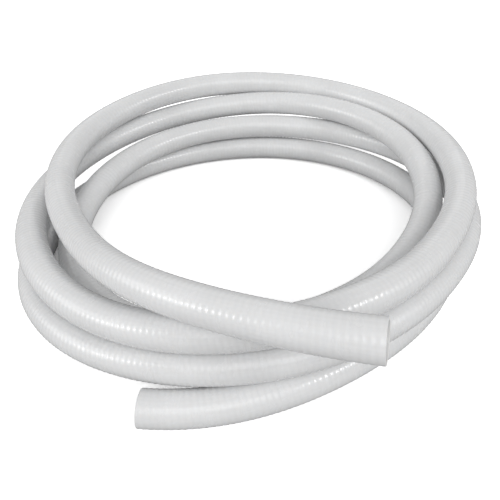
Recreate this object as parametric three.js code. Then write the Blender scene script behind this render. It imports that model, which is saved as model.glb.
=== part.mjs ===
// A cut length of white flexible PVC hose, lying in a loose coil of a little over four turns.
// Millimetres. +Z is up, the floor is z = 0, and the coil is seen from the front, along +Y.
import * as THREE from "three";

// Driving dimensions
const hoseOuterDiameter = 48.3;
const wallThickness = 3.95;
const layGap = 0.9; // left between two turns that lie against each other
const coilRadius = 320; // from the middle of the coil to the hose's centre in lane 0
const startAngle = -17.2; // where the upper cut end lies, in degrees round from the front
const finishAngle = 1463; // where the lower cut end lies, four turns further on
const sectionSides = 16;
const routeSteps = 150;

// How the hose was laid down, from its upper end to its lower one. The keys are an eighth of a turn
// apart, with a row for each turn, and the first key lies that much before the upper end. A key's lane
// is how far out it lies and its level is how high, both counted in hoses laid side by side.
const lanes = [
  [8.25, 0.5, -0.6, -1.05, 1.7, 2.45, 2.4, 0.95],
  [-0.9, -0.5, -0.05, 0.65, 2, 1.95, 1.2, 0.15],
  [-1.95, -2.65, -1.45, -0.1, 0.05, 0.55, 1.15, 1.55],
  [-0.55, -0.35, 0.1, 1.3, 0.8, 0.55, 0.95, 0.55],
  [-0.55, -0.7, 1.3, 3.15],
];
const levels = [
  [5.4, 3, 2.75, 1.55, 1.9, 2.6, 2.35, 2.2],
  [1.8, 2.35, 1.5, 1.1, 0.85, 1.55, 2.2, 1.7],
  [0.2, 0, 0.05, -0.05, 0.9, 1.1, 0.95, 1.1],
  [0.9, 1.3, 0.55, -0.05, 0.05, 0, 0, 0.2],
  [-0.05, 0.05, -0.05, 0.3],
];

// A smooth value between the keys: a uniform cubic B-spline.
function between(rows, angle) {
  const keys = rows.flat();
  const place = 1 + ((angle - startAngle) / 360) * rows[0].length;
  const i = Math.floor(place);
  const t = place - i;
  const weights = [
    (1 - t) ** 3,
    3 * t ** 3 - 6 * t ** 2 + 4,
    -3 * t ** 3 + 3 * t ** 2 + 3 * t + 1,
    t ** 3,
  ];
  return weights.reduce((sum, weight, k) => sum + (weight * keys[i - 1 + k]) / 6, 0);
}

// The centre line of the hose. It runs from the front to the left, seen from above.
class Route extends THREE.Curve {
  getPoint(t, target = new THREE.Vector3()) {
    const angle = THREE.MathUtils.lerp(startAngle, finishAngle, t);
    const lay = hoseOuterDiameter + layGap;
    const radius = coilRadius + lay * between(lanes, angle);
    const height = hoseOuterDiameter / 2 + lay * between(levels, angle);
    const turned = THREE.MathUtils.degToRad(angle);
    return target.set(-radius * Math.sin(turned), -radius * Math.cos(turned), height);
  }
}

// The hose's wall, cut square across.
function hoseSection() {
  const section = new THREE.Shape();
  section.absarc(0, 0, hoseOuterDiameter / 2, 0, 2 * Math.PI);
  const bore = new THREE.Path();
  bore.absarc(0, 0, hoseOuterDiameter / 2 - wallThickness, 0, 2 * Math.PI);
  section.holes.push(bore);
  return section;
}

function hoseMesh() {
  const route = new Route();
  route.arcLengthDivisions = 10 * routeSteps;
  const geometry = new THREE.ExtrudeGeometry(hoseSection(), {
    curveSegments: sectionSides / 2,
    steps: routeSteps,
    extrudePath: route,
  });
  const whitePvc = new THREE.MeshStandardMaterial({ color: 0xe9eaea, roughness: 0.42, metalness: 0 });
  const mesh = new THREE.Mesh(geometry, whitePvc);
  mesh.name = "hose";
  return mesh;
}

// The origin is on the floor, in the middle of the coil's box.
function standOnFloor(mesh) {
  mesh.geometry.computeBoundingBox();
  const box = mesh.geometry.boundingBox;
  const middle = box.getCenter(new THREE.Vector3());
  mesh.position.set(-middle.x, -middle.y, -box.min.z);
}

const coiledHose = new THREE.Group();
const hose = hoseMesh();
standOnFloor(hose);
coiledHose.add(hose);

export default coiledHose;
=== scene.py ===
# A cut length of white flexible PVC hose, lying in a loose coil on a pale floor. Metres, +Z up.
import math
import bpy
from mathutils import Matrix, Vector


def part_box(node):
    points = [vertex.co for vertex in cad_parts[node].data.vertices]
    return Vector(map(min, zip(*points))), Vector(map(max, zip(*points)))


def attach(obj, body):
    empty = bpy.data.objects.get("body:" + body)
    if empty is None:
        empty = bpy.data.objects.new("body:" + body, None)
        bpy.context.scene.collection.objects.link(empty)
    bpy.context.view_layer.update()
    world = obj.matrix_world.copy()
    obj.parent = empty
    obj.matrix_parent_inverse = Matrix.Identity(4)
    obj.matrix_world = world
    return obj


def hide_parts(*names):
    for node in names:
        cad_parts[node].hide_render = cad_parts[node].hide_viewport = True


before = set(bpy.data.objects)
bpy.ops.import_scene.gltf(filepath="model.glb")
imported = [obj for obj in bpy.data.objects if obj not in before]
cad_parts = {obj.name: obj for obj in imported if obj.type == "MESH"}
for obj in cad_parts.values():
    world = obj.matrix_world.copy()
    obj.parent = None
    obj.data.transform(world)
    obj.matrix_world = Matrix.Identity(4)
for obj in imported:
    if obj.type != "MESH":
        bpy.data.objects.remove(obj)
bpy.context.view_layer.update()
print("frame loaded:", ", ".join(sorted(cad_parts)))

# The camera stands in front of the coil, a little over half a metre up, and looks down on it.
camera = {
    "place": (-0.0012, -0.7198, 0.5419),
    "tiltDown": 38.18,  # degrees below level
    "lens": 35.27,
    "sensor": 36,
    "nearest": 0.01,
}


def makeCamera(c):
    data = bpy.data.cameras.new("camera")
    data.lens = c["lens"]
    data.sensor_width = c["sensor"]
    data.clip_start = c["nearest"]
    holder = bpy.data.objects.new("camera", data)
    holder.location = c["place"]
    holder.rotation_euler = (math.radians(90 - c["tiltDown"]), 0, 0)
    bpy.context.scene.collection.objects.link(holder)
    bpy.context.scene.camera = holder


makeCamera(camera)
print("camera in place")

# The hose's sizes, and how it was laid down from its upper end to its lower one. The keys are an
# eighth of a turn apart, and the first lies that much before the upper end.
hose = {
    "outerDiameter": 0.0483,
    "wall": 0.00395,
    "layGap": 0.0009,  # left between two turns that lie against each other
    "coilRadius": 0.320,
    "startAngle": -17.2,
    "finishAngle": 1463,
    "ribPitch": 0.0079,
    "ribHeight": 0.00042,  # from the bottom of a groove to the top of a rib
    "rowsPerRib": 4,
    "sides": 20,
    "boreStep": 0.03,
    "cutEdge": 0.0004,  # how far the cut's edges are rounded
    "cutRows": [  # across a cut face: part of the wall, edges in from that side, edges back from the face
        (0, 0, 1), (0, 0.3, 0.3), (0, 1, 0), (0, 2.2, 0), (0.5, 0, 0),
        (1, -2.2, 0), (1, -1, 0), (1, -0.3, 0.3), (1, 0, 1),
    ],
    "mergeWithin": 2e-6,
    "routePoints": 1480,
}
lanes = [  # how far out it lies, in hoses
    [8.25, 0.5, -0.6, -1.05, 1.7, 2.45, 2.4, 0.95],
    [-0.9, -0.5, -0.05, 0.65, 2, 1.95, 1.2, 0.15],
    [-1.95, -2.65, -1.45, -0.1, 0.05, 0.55, 1.15, 1.55],
    [-0.55, -0.35, 0.1, 1.3, 0.8, 0.55, 0.95, 0.55],
    [-0.55, -0.7, 1.3, 3.15],
]
levels = [  # how high, in hoses
    [5.4, 3, 2.75, 1.55, 1.9, 2.6, 2.35, 2.2],
    [1.8, 2.35, 1.5, 1.1, 0.85, 1.55, 2.2, 1.7],
    [0.2, 0, 0.05, -0.05, 0.9, 1.1, 0.95, 1.1],
    [0.9, 1.3, 0.55, -0.05, 0.05, 0, 0, 0.2],
    [-0.05, 0.05, -0.05, 0.3],
]


def between(rows, angle):  # a smooth value between the keys: a uniform cubic B-spline
    keys = [key for row in rows for key in row]
    place = 1 + (angle - hose["startAngle"]) / 360 * len(rows[0])
    i = math.floor(place)
    t = place - i
    weights = ((1 - t) ** 3, 3 * t**3 - 6 * t**2 + 4, -3 * t**3 + 3 * t**2 + 3 * t + 1, t**3)
    return sum(weight * keys[i - 1 + k] for k, weight in enumerate(weights)) / 6


def routePoint(t):
    angle = hose["startAngle"] + t * (hose["finishAngle"] - hose["startAngle"])
    lay = hose["outerDiameter"] + hose["layGap"]
    radius = hose["coilRadius"] + lay * between(lanes, angle)
    height = hose["outerDiameter"] / 2 + lay * between(levels, angle)
    turned = math.radians(angle)
    return Vector((-radius * math.sin(turned), -radius * math.cos(turned), height))


def lineObject(name, points):
    data = bpy.data.curves.new(name, "CURVE")
    data.dimensions = "3D"
    spline = data.splines.new("POLY")
    spline.points.add(len(points) - 1)
    for target, point in zip(spline.points, points):
        target.co = (*point, 1)
    line = bpy.data.objects.new(name, data)
    bpy.context.scene.collection.objects.link(line)
    return line


# Short ways to put a node in a tree and give it its inputs.
def put(tree, kind, inputs=None, **settings):
    node = tree.nodes.new(kind)
    for name, value in settings.items():
        setattr(node, name, value)
    for key, value in (inputs or {}).items():
        if isinstance(value, bpy.types.NodeSocket):
            tree.links.new(value, node.inputs[key])
        else:
            node.inputs[key].default_value = value
    return node


def maths(tree, operation, *values):
    return put(tree, "ShaderNodeMath", dict(enumerate(values)), operation=operation).outputs[0]


def scaled(tree, vector, factor):
    return put(tree, "ShaderNodeVectorMath", {0: vector, "Scale": factor}, operation="SCALE").outputs[0]


def summed(tree, first, second):
    return put(tree, "ShaderNodeVectorMath", {0: first, 1: second}, operation="ADD").outputs[0]


def stored(tree, geometry, name, value, kind="FLOAT"):
    node = put(tree, "GeometryNodeStoreNamedAttribute", data_type=kind, domain="POINT")
    node.inputs["Name"].default_value = name
    tree.links.new(geometry, node.inputs["Geometry"])
    target = next(s for s in node.inputs if s.name == "Value" and s.enabled)
    if isinstance(value, bpy.types.NodeSocket):
        tree.links.new(value, target)
    else:
        target.default_value = value
    return node.outputs["Geometry"]


# One skin of the hose: a grid with a column for each side and a row for each step along the route.
# A row is a full turn of a helix if it leans, so that the rows follow the ribs. The attribute cut is
# 0 on the outside, 0.5 in the bore and 1 on a cut face.
def skin(tree, line, inner, rows, along, lean, radius, cut, flip):
    sides = inner["Sides"]
    columns = maths(tree, "ADD", sides, 1)
    grid = put(tree, "GeometryNodeMeshGrid", {"Vertices X": rows, "Vertices Y": columns})
    index = put(tree, "GeometryNodeInputIndex").outputs[0]
    row = maths(tree, "FLOOR", maths(tree, "DIVIDE", maths(tree, "ADD", index, 0.5), columns))
    column = maths(tree, "SUBTRACT", index, maths(tree, "MULTIPLY", row, columns))
    turn = maths(tree, "DIVIDE", column, sides)
    length = put(tree, "GeometryNodeCurveLength", {"Curve": line}).outputs[0]
    reach = along(row, length)
    if lean:
        reach = maths(tree, "ADD", reach, maths(tree, "MULTIPLY", turn, inner["Rib Pitch"]))
        edge = inner["Cut Edge"]
        low = maths(tree, "MAXIMUM", reach, edge)
        reach = maths(tree, "MINIMUM", low, maths(tree, "SUBTRACT", length, edge))
    sample = put(tree, "GeometryNodeSampleCurve", {"Curves": line, "Length": reach}, mode="LENGTH")
    spin = maths(tree, "MULTIPLY", turn, 2 * math.pi)
    across = put(tree, "ShaderNodeVectorMath", {0: sample.outputs["Tangent"], 1: sample.outputs["Normal"]},
                 operation="CROSS_PRODUCT").outputs[0]
    out = summed(tree, scaled(tree, sample.outputs["Normal"], maths(tree, "COSINE", spin)),
                 scaled(tree, across, maths(tree, "SINE", spin)))
    phase = maths(tree, "SUBTRACT", maths(tree, "DIVIDE", reach, inner["Rib Pitch"]), turn)
    crest = maths(tree, "COSINE", maths(tree, "MULTIPLY", phase, 2 * math.pi))
    place = summed(tree, sample.outputs["Position"], scaled(tree, out, radius(row, crest)))
    moved = put(tree, "GeometryNodeSetPosition", {"Geometry": grid.outputs["Mesh"], "Position": place})
    geometry = moved.outputs["Geometry"]
    geometry = stored(tree, geometry, "along", reach)
    geometry = stored(tree, geometry, "crest", crest)
    geometry = stored(tree, geometry, "out", out, "FLOAT_VECTOR")
    geometry = stored(tree, geometry, "cut", cut)
    if flip:
        geometry = put(tree, "GeometryNodeFlipFaces", {"Mesh": geometry}).outputs[0]
    return geometry


def hoseTree(h, material):
    tree = bpy.data.node_groups.new("ribbedHose", "GeometryNodeTree")
    face = tree.interface
    face.new_socket("Geometry", in_out="INPUT", socket_type="NodeSocketGeometry")
    face.new_socket("Geometry", in_out="OUTPUT", socket_type="NodeSocketGeometry")
    sizes = {
        "Outer Radius": h["outerDiameter"] / 2,
        "Wall": h["wall"],
        "Rib Pitch": h["ribPitch"],
        "Rib Height": h["ribHeight"],
        "Bore Step": h["boreStep"],
        "Cut Edge": h["cutEdge"],
    }
    counts = {"Rows Per Rib": h["rowsPerRib"], "Sides": h["sides"]}
    for name in sizes:
        face.new_socket(name, in_out="INPUT", socket_type="NodeSocketFloat")
    for name in counts:
        face.new_socket(name, in_out="INPUT", socket_type="NodeSocketInt")
    inner = put(tree, "NodeGroupInput").outputs
    line = put(tree, "GeometryNodeSetCurveNormal", {"Curve": inner["Geometry"]}, mode="Z_UP").outputs[0]
    length = put(tree, "GeometryNodeCurveLength", {"Curve": line}).outputs[0]
    half = maths(tree, "MULTIPLY", inner["Rib Height"], 0.5)
    outerMiddle = maths(tree, "SUBTRACT", inner["Outer Radius"], half)
    boreRadius = maths(tree, "SUBTRACT", inner["Outer Radius"], inner["Wall"])

    def ribbed(row, crest):
        return maths(tree, "ADD", outerMiddle, maths(tree, "MULTIPLY", crest, half))

    # the outside, whose rows follow the ribs and start one rib early
    rowStep = maths(tree, "DIVIDE", inner["Rib Pitch"], inner["Rows Per Rib"])
    outerRows = maths(tree, "ADD", maths(tree, "CEIL", maths(tree, "DIVIDE", length, rowStep)),
                      maths(tree, "ADD", inner["Rows Per Rib"], 2))

    def outerAlong(row, whole):
        return maths(tree, "MULTIPLY", maths(tree, "SUBTRACT", row, inner["Rows Per Rib"]), rowStep)

    outside = skin(tree, line, inner, outerRows, outerAlong, True, ribbed, 0, True)

    # the bore
    boreRows = maths(tree, "CEIL", maths(tree, "DIVIDE", length, inner["Bore Step"]))
    boreSpan = maths(tree, "SUBTRACT", length, maths(tree, "MULTIPLY", inner["Cut Edge"], 2))

    def boreAlong(row, whole):
        step = maths(tree, "DIVIDE", boreSpan, maths(tree, "SUBTRACT", boreRows, 1))
        return maths(tree, "ADD", inner["Cut Edge"], maths(tree, "MULTIPLY", row, step))

    def plain(row, crest):
        return boreRadius

    bore = skin(tree, line, inner, boreRows, boreAlong, False, plain, 0.5, False)

    # the two cut faces, each with its edges rounded
    cutRows = h["cutRows"]

    def pick(row, which):
        node = put(tree, "GeometryNodeIndexSwitch", data_type="FLOAT")
        while len(node.index_switch_items) < len(cutRows):
            node.index_switch_items.new()
        tree.links.new(row, node.inputs["Index"])
        for k, values in enumerate(cutRows):
            node.inputs[k + 1].default_value = values[which]
        return node.outputs[0]

    def cutRadius(row, crest):
        top = ribbed(row, crest)
        wall = maths(tree, "MULTIPLY", maths(tree, "SUBTRACT", boreRadius, top), pick(row, 0))
        rounded = maths(tree, "MULTIPLY", inner["Cut Edge"], pick(row, 1))
        return maths(tree, "SUBTRACT", maths(tree, "ADD", top, wall), rounded)

    def startAlong(row, whole):
        return maths(tree, "MULTIPLY", inner["Cut Edge"], pick(row, 2))

    def finishAlong(row, whole):
        return maths(tree, "SUBTRACT", whole, startAlong(row, whole))

    start = skin(tree, line, inner, len(cutRows), startAlong, False, cutRadius, 1, False)
    finish = skin(tree, line, inner, len(cutRows), finishAlong, False, cutRadius, 1, True)

    joined = put(tree, "GeometryNodeJoinGeometry")
    for geometry in (finish, start, bore, outside):
        tree.links.new(geometry, joined.inputs[0])
    closed = put(tree, "GeometryNodeMergeByDistance",
                 {"Geometry": joined.outputs[0], "Distance": h["mergeWithin"]})
    smooth = put(tree, "GeometryNodeSetShadeSmooth", {"Geometry": closed.outputs[0]})
    real = put(tree, "GeometryNodeRealizeInstances", {"Geometry": smooth.outputs[0]})
    painted = put(tree, "GeometryNodeSetMaterial", {"Geometry": real.outputs[0], "Material": material})
    put(tree, "NodeGroupOutput", {"Geometry": painted.outputs[0]})
    return tree, {**sizes, **counts}


def makeHose(h, material):
    points = [routePoint(k / h["routePoints"]) for k in range(h["routePoints"] + 1)]
    line = lineObject("hoseLine", points)
    tree, values = hoseTree(h, material)
    modifier = line.modifiers.new("ribbedHose", "NODES")
    modifier.node_group = tree
    for item in tree.interface.items_tree:
        if item.item_type == "SOCKET" and item.in_out == "INPUT" and item.name in values:
            modifier[item.identifier] = values[item.name]
    depsgraph = bpy.context.evaluated_depsgraph_get()
    evaluated = line.evaluated_get(depsgraph)
    mesh = bpy.data.meshes.new_from_object(evaluated, preserve_all_data_layers=True,
                                           depsgraph=depsgraph)
    piece = bpy.data.objects.new("ribbed_hose", mesh)
    bpy.context.scene.collection.objects.link(piece)
    line.modifiers.clear()
    bpy.data.objects.remove(line)
    return piece, points


# White PVC: satin and a little milky. The stiff ribs are whiter and glossier than the soft web
# between them. The die has left faint lines along the hose, and handling some dust and dull scuffs.
pvc = {
    "web": (0.722, 0.725, 0.729, 1),
    "rib": (0.738, 0.741, 0.745, 1),
    "cut": (0.765, 0.765, 0.755, 1),
    "bore": (0.69, 0.695, 0.70, 1),
    "roughness": 0.27,
    "ribRoughness": 0.18,
    "cutRoughness": 0.55,
    "milk": 0.12,
    "milkReach": (0.004, 0.0035, 0.003),
    "cloud": {"Scale": 14.0, "Detail": 3.0},
    "cloudSpan": (0.3, 0.7, 0.965, 1.02),  # noise from and to, tone from and to
    "dieLines": {"Scale": 9.0, "Detail": 2.0},
    "dieLineSpan": (0.35, 0.65, 0.975, 1.0),
    "scuff": {"Scale": 55.0, "Detail": 4.0},
    "scuffSpan": (0.56, 0.72, 0.0, 0.14),  # noise from and to, roughness added from and to
    "sawLines": 950.0,  # in a metre, across a cut face
    "sawWander": 9.0,
    "sawDepth": 0.00006,
    "sawStrength": 0.6,
    "grain": {"Scale": 260.0, "Detail": 2.0},
    "grainDepth": 0.00012,
    "grainStrength": 0.5,
}


def whitePvc(p):
    material = bpy.data.materials.new("whitePvc")
    material.use_nodes = True
    tree = material.node_tree
    shader = tree.nodes["Principled BSDF"]
    crest = put(tree, "ShaderNodeAttribute", attribute_name="crest").outputs["Fac"]
    cut = put(tree, "ShaderNodeAttribute", attribute_name="cut").outputs["Fac"]
    along = put(tree, "ShaderNodeAttribute", attribute_name="along").outputs["Fac"]
    out = put(tree, "ShaderNodeAttribute", attribute_name="out").outputs["Vector"]
    place = put(tree, "ShaderNodeTexCoord").outputs["Object"]

    def ranged(value, low, high, newLow=0.0, newHigh=1.0):
        return put(tree, "ShaderNodeMapRange", {"Value": value, "From Min": low, "From Max": high,
                                                "To Min": newLow, "To Max": newHigh}).outputs[0]

    def noise(vector, sizes, **settings):
        return put(tree, "ShaderNodeTexNoise", {"Vector": vector, **sizes}, **settings).outputs["Fac"]

    def mixed(factor, first, second):
        node = put(tree, "ShaderNodeMix", {"Factor": factor}, data_type="RGBA")
        for name, value in (("A", first), ("B", second)):
            target = next(i for i in node.inputs if i.name == name and i.enabled)
            if isinstance(value, bpy.types.NodeSocket):
                tree.links.new(value, target)
            else:
                target.default_value = value
        return next(o for o in node.outputs if o.enabled)

    ribbed = ranged(crest, -1.0, 1.0)
    onCut = ranged(cut, 0.6, 0.9)
    inBore = maths(tree, "SUBTRACT", ranged(cut, 0.2, 0.4), onCut)
    tone = mixed(onCut, mixed(inBore, mixed(ribbed, p["web"], p["rib"]), p["bore"]), p["cut"])
    cloud = noise(place, p["cloud"])
    lines = noise(out, {"W": along, **p["dieLines"]}, noise_dimensions="4D")
    shade = maths(tree, "MULTIPLY", ranged(cloud, *p["cloudSpan"]), ranged(lines, *p["dieLineSpan"]))
    tree.links.new(scaled(tree, tone, shade), shader.inputs["Base Color"])
    gloss = ranged(ribbed, 0.0, 1.0, p["roughness"], p["ribRoughness"])
    dulled = maths(tree, "ADD", gloss, ranged(noise(place, p["scuff"]), *p["scuffSpan"]))
    onFace = maths(tree, "MULTIPLY", maths(tree, "SUBTRACT", p["cutRoughness"], dulled), onCut)
    tree.links.new(maths(tree, "ADD", dulled, onFace), shader.inputs["Roughness"])
    shader.inputs["Subsurface Weight"].default_value = p["milk"]
    shader.inputs["Subsurface Radius"].default_value = p["milkReach"]
    shader.inputs["Subsurface Scale"].default_value = 1.0
    fine = noise(place, p["grain"])
    grain = put(tree, "ShaderNodeBump", {"Height": fine, "Distance": p["grainDepth"],
                                         "Strength": p["grainStrength"]}).outputs[0]
    upright = put(tree, "ShaderNodeSeparateXYZ", {0: place}).outputs["Z"]
    wander = maths(tree, "MULTIPLY", cloud, p["sawWander"])
    across = maths(tree, "MULTIPLY", upright, p["sawLines"] * 2 * math.pi)
    sawn = maths(tree, "MULTIPLY", maths(tree, "SINE", maths(tree, "ADD", across, wander)), onCut)
    marks = put(tree, "ShaderNodeBump", {"Height": sawn, "Distance": p["sawDepth"],
                                         "Strength": p["sawStrength"], "Normal": grain}).outputs[0]
    tree.links.new(marks, shader.inputs["Normal"])
    return material


ribbedHose, route = makeHose(hose, whitePvc(pvc))
bpy.context.view_layer.update()

# The coil is set on its node: over the middle of the node's box, and on the floor.
low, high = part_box("hose")
corners = [Vector(c) for c in ribbedHose.bound_box]
middle = (Vector(map(min, zip(*corners))) + Vector(map(max, zip(*corners)))) / 2
shift = (low + high) / 2 - middle
shift.z = low.z - min(c.z for c in corners)
ribbedHose.data.transform(Matrix.Translation(shift))
route = [point + shift for point in route]
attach(ribbedHose, "root")
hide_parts("hose")

# The floor shows white to the camera, as an overexposed backdrop does, so its seen tone is over 1. It
# throws less light back up at the hose than it shows.
floor = {
    "size": 9,
    "seenTone": 1.6,
    "seenGlow": 0.1,
    "bounceTone": 0.48,
}


def makeFloor(f):
    data = bpy.data.meshes.new("floor")
    half = f["size"] / 2
    corners = [(-half, -half, 0), (half, -half, 0), (half, half, 0), (-half, half, 0)]
    data.from_pydata(corners, [], [(0, 1, 2, 3)])
    material = bpy.data.materials.new("paleFloor")
    material.use_nodes = True
    tree = material.node_tree
    tree.nodes.clear()
    seen = put(tree, "ShaderNodeBsdfDiffuse", {"Color": [f["seenTone"]] * 3 + [1]}).outputs[0]
    glow = put(tree, "ShaderNodeEmission", {"Strength": f["seenGlow"]}).outputs[0]
    bounced = put(tree, "ShaderNodeBsdfDiffuse", {"Color": [f["bounceTone"]] * 3 + [1]}).outputs[0]
    direct = put(tree, "ShaderNodeAddShader", {0: seen, 1: glow}).outputs[0]
    ray = put(tree, "ShaderNodeLightPath").outputs["Is Camera Ray"]
    both = put(tree, "ShaderNodeMixShader", {0: ray, 1: bounced, 2: direct}).outputs[0]
    put(tree, "ShaderNodeOutputMaterial", {"Surface": both})
    data.materials.append(material)
    sheet = bpy.data.objects.new("floor", data)
    bpy.context.scene.collection.objects.link(sheet)


makeFloor(floor)

# Soft studio light. Each panel is placed by its bearing from the front, its height above level and
# its distance, all from the middle of the coil. Angles are in degrees. The two small boxes draw the
# bright dashes on the ribs, and the sky shows brighter to the camera than it lights.
light = {
    "sky": 0.42,
    "seenSky": 1.0,
    "middle": (0, 0, 0.08),
    "panels": [  # name, bearing, height, distance, width, tall, brightness
        ("frontLeft", -76, 20, 6.0, 4.8, 3.2, 2.4),
        ("front", 5, 42, 6.0, 6.0, 3.2, 2.15),
        ("frontRight", 72, 24, 6.0, 4.0, 2.6, 1.2),
        ("boxLeft", -64, 20, 5.8, 0.8, 0.8, 15.0),
        ("boxRight", 62, 34, 5.8, 0.9, 0.9, 24.0),
        ("back", 180, 34, 6.0, 6.0, 2.6, 0.7),
    ],
}


def makeLight(l):
    world = bpy.data.worlds.new("studio")
    world.use_nodes = True
    tree = world.node_tree
    ray = put(tree, "ShaderNodeLightPath").outputs["Is Camera Ray"]
    strength = put(tree, "ShaderNodeMapRange",
                   {"Value": ray, "To Min": l["sky"], "To Max": l["seenSky"]}).outputs[0]
    sky = tree.nodes["Background"]
    sky.inputs["Color"].default_value = (1, 1, 1, 1)
    tree.links.new(strength, sky.inputs["Strength"])
    bpy.context.scene.world = world
    for name, bearing, height, distance, width, tall, brightness in l["panels"]:
        data = bpy.data.lights.new(name, "AREA")
        data.shape = "RECTANGLE"
        data.size = width
        data.size_y = tall
        data.energy = brightness * math.pi * width * tall
        turned, raised = math.radians(bearing), math.radians(height)
        level = math.cos(raised)
        reach = Vector((math.sin(turned) * level, -math.cos(turned) * level, math.sin(raised)))
        panel = bpy.data.objects.new(name, data)
        panel.location = Vector(l["middle"]) + reach * distance
        panel.rotation_euler = reach.to_track_quat("Z", "Y").to_euler()
        panel.visible_camera = False
        bpy.context.scene.collection.objects.link(panel)


makeLight(light)
bpy.context.scene.view_settings.view_transform = "Standard"
print("floor and light in place")

bpy.context.view_layer.update()
